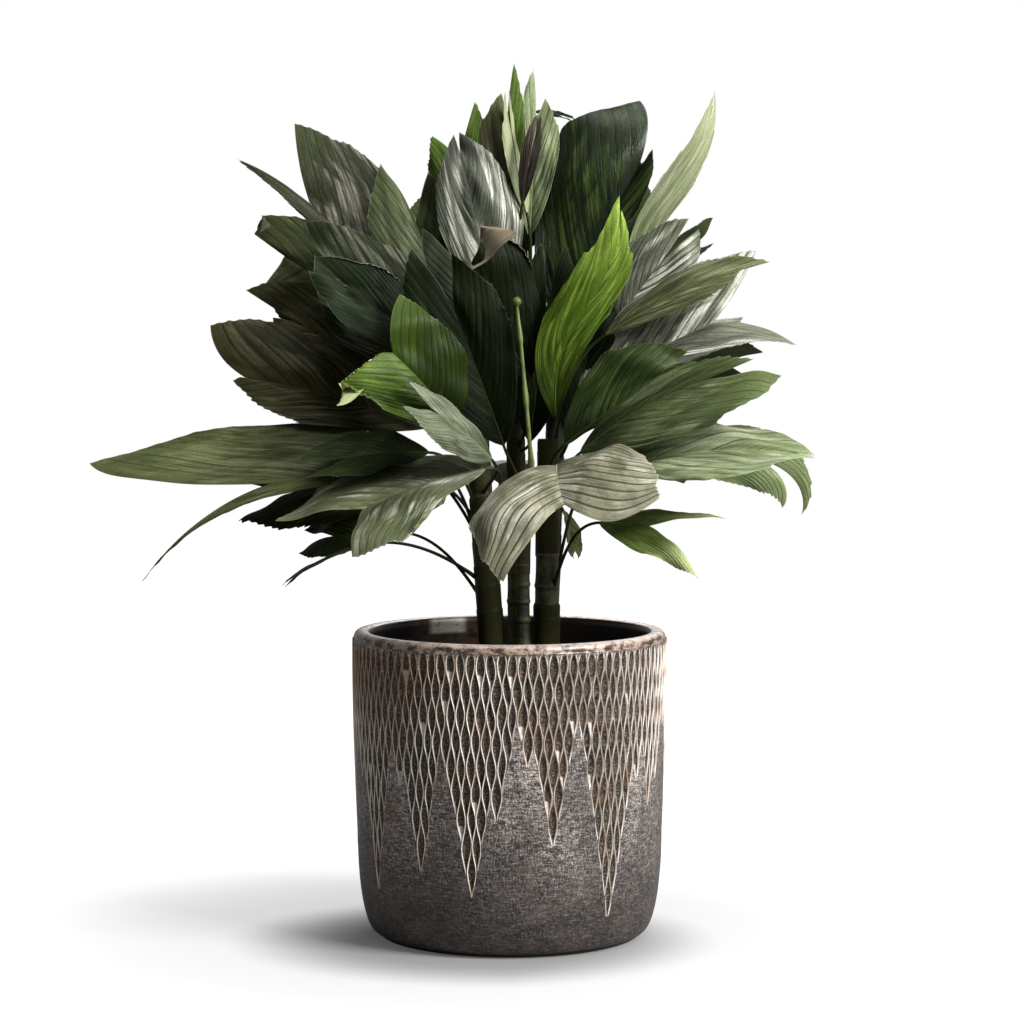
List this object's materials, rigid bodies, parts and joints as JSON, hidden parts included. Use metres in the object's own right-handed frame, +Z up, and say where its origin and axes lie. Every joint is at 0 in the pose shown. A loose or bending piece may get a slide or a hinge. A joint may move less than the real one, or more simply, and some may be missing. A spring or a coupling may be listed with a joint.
{
  "type": "potted metallic palm",
  "caption": "Bushy potted palm with pleated, forked leaves of a metallic sheen on upright canes, in a carved round cover pot.",
  "frame": {"origin": "centre of the cover pot's underside, on the surface it stands on", "axes": "+Z up, -Y towards the side with the two silver front leaves, +X to that side's right"},
  "size_m": [0.4943, 0.3785, 0.6088],
  "materials": {
    "bronze_glaze": "satin",
    "nursery_plastic": "matte",
    "potting_soil": "matte",
    "green_cane": "satin",
    "leaf_dark": "satin",
    "leaf_silver": "satin",
    "leaf_green": "satin",
    "leaf_bright": "satin",
    "leaf_pale": "satin"
  },
  "bodies": {
    "root": {"pot": "bronze_glaze", "nursery_pot": "nursery_plastic", "soil": "potting_soil", "cane_left": "green_cane", "cane_right": "green_cane", "cane_front": "green_cane", "cane_back": "green_cane", "cane_back_left": "green_cane", "cane_back_right": "green_cane", "flower_spike": "green_cane", "leaf_front_silver": "leaf_silver", "leaf_front_left_pale": "leaf_pale", "leaf_small_grey": "leaf_pale", "leaf_bright_young": "leaf_bright", "leaf_right_ribbed": "leaf_pale", "leaf_right_green": "leaf_green", "leaf_right_folded": "leaf_green", "leaf_low_right": "leaf_pale", "leaf_left_long": "leaf_pale", "leaf_left_brown": "leaf_dark", "leaf_left_dark": "leaf_dark", "leaf_left_upper_dark": "leaf_dark", "leaf_left_upright": "leaf_dark", "leaf_left_streaked": "leaf_silver", "leaf_left_white_edge": "leaf_silver", "leaf_left_green_under": "leaf_green", "leaf_left_toothed_low": "leaf_dark", "leaf_left_low_small": "leaf_dark", "leaf_left_thread": "leaf_pale", "leaf_centre_great": "leaf_dark", "leaf_centre_curled": "leaf_dark", "leaf_bright_upright": "leaf_bright", "leaf_mid_left_sheen": "leaf_silver", "leaf_top_left_silver": "leaf_silver", "leaf_top_bright": "leaf_bright", "leaf_crown_left": "leaf_dark", "leaf_crown_right": "leaf_dark", "leaf_top_glossy": "leaf_dark", "leaf_top_right_pale": "leaf_pale", "leaf_right_upper_sheen": "leaf_silver", "leaf_right_yellow_green": "leaf_bright", "leaf_right_silver": "leaf_silver", "leaf_right_hanging": "leaf_green", "leaf_low_back": "leaf_green", "leaf_back_low_right": "leaf_green", "leaf_back_low_mid_right": "leaf_green", "leaf_back_low_mid_left": "leaf_green", "leaf_back_low_left": "leaf_green", "leaf_back_right": "leaf_green", "leaf_back_mid": "leaf_green", "leaf_back_left": "leaf_green", "leaf_back_high_right": "leaf_green", "leaf_back_high_left": "leaf_green", "leaf_back_top": "leaf_green", "leaf_back_centre": "leaf_green", "leaf_back_side_right": "leaf_green", "leaf_back_side_left": "leaf_green", "leaf_back_upper_left": "leaf_green", "leaf_back_upper_right": "leaf_green"}
  },
  "joints": []
}
